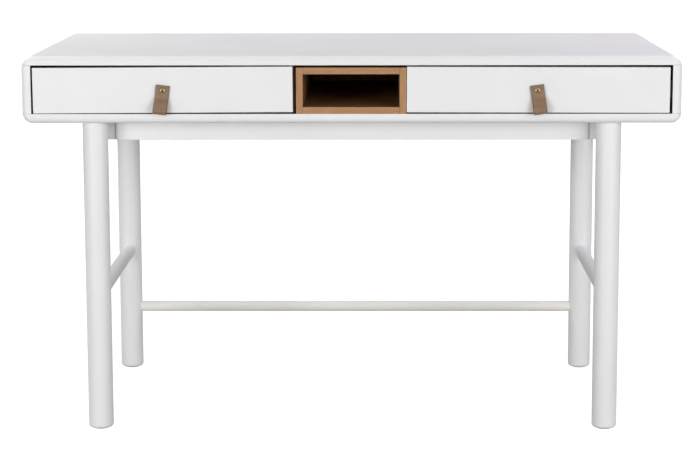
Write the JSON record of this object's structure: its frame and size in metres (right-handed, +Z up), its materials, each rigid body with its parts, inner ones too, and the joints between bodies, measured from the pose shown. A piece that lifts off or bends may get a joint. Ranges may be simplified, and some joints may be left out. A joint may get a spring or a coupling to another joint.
{
  "type": "writing desk",
  "caption": "White lacquered writing desk on round legs, with flat drawers on leather loop pulls beside an open oak cubby, side stretchers and a foot rod.",
  "frame": {"origin": "on the floor under the middle of the whole desk, leather pulls included", "axes": "+Z up, +X to the sitter's right, -Y towards the sitter"},
  "size_m": [1.3, 0.6172, 0.76],
  "materials": {
    "white_lacquer": "white satin lacquer sprayed on board and solid wood",
    "oak": "oiled oak, fine straight grain, matt",
    "drawer_ply": "clear lacquered plywood, matt",
    "leather": "vegetable tanned strap, matt, cut edges",
    "brass": "polished, lightly worn",
    "runner_steel": "zinc plated, satin",
    "rod_enamel": "off-white powder coat, satin",
    "glide_nylon": "moulded nylon, matt"
  },
  "bodies": {
    "desk": {"back_panel": "white_lacquer", "back_rail": "white_lacquer", "bottom_board": "white_lacquer", "case_left_runner_inner": "runner_steel", "case_left_runner_outer": "runner_steel", "case_right_runner_inner": "runner_steel", "case_right_runner_outer": "runner_steel", "corner_block_back_left": "white_lacquer", "corner_block_back_right": "white_lacquer", "corner_block_front_left": "white_lacquer", "corner_block_front_right": "white_lacquer", "cubby_back": "oak", "cubby_floor": "oak", "cubby_roof": "oak", "cubby_wall_left": "oak", "cubby_wall_right": "oak", "divider_left": "oak", "divider_right": "oak", "foot_glide_back_left": "glide_nylon", "foot_glide_back_right": "glide_nylon", "foot_glide_front_left": "glide_nylon", "foot_glide_front_right": "glide_nylon", "foot_rod": "rod_enamel", "front_rail": "white_lacquer", "leg_back_left": "white_lacquer", "leg_back_right": "white_lacquer", "leg_bolt_back_left": "runner_steel", "leg_bolt_back_right": "runner_steel", "leg_bolt_front_left": "runner_steel", "leg_bolt_front_right": "runner_steel", "leg_front_left": "white_lacquer", "leg_front_right": "white_lacquer", "side_panel_left": "white_lacquer", "side_panel_right": "white_lacquer", "side_rail_left": "white_lacquer", "side_rail_right": "white_lacquer", "side_stretcher_left": "white_lacquer", "side_stretcher_right": "white_lacquer", "top_board": "white_lacquer"},
    "drawer_left": {"drawer_left_back": "drawer_ply", "drawer_left_bottom": "drawer_ply", "drawer_left_front": "white_lacquer", "drawer_left_pull_nut": "brass", "drawer_left_pull_screw": "brass", "drawer_left_runner_inner": "runner_steel", "drawer_left_runner_outer": "runner_steel", "drawer_left_wall_inner": "drawer_ply", "drawer_left_wall_outer": "drawer_ply"},
    "drawer_right": {"drawer_right_back": "drawer_ply", "drawer_right_bottom": "drawer_ply", "drawer_right_front": "white_lacquer", "drawer_right_pull_nut": "brass", "drawer_right_pull_screw": "brass", "drawer_right_runner_inner": "runner_steel", "drawer_right_runner_outer": "runner_steel", "drawer_right_wall_inner": "drawer_ply", "drawer_right_wall_outer": "drawer_ply"},
    "pull_left": {"pull_left_strap": "leather"},
    "pull_right": {"pull_right_strap": "leather"}
  },
  "joints": [
    {"name": "drawer_left_slide", "type": "slide", "parent": "desk", "child": "drawer_left", "axis": [0, -1, 0], "range_m": [0, 0.33]},
    {"name": "pull_left_swivel", "type": "hinge", "parent": "drawer_left", "child": "pull_left", "pos_m": [-0.3715, -0.29135, 0.693], "axis": [0, 1, 0], "range_deg": [-37, 23]},
    {"name": "drawer_right_slide", "type": "slide", "parent": "desk", "child": "drawer_right", "axis": [0, -1, 0], "range_m": [0, 0.33]},
    {"name": "pull_right_swivel", "type": "hinge", "parent": "drawer_right", "child": "pull_right", "pos_m": [0.3656, -0.29135, 0.693], "axis": [0, 1, 0], "range_deg": [-22, 38]}
  ]
}
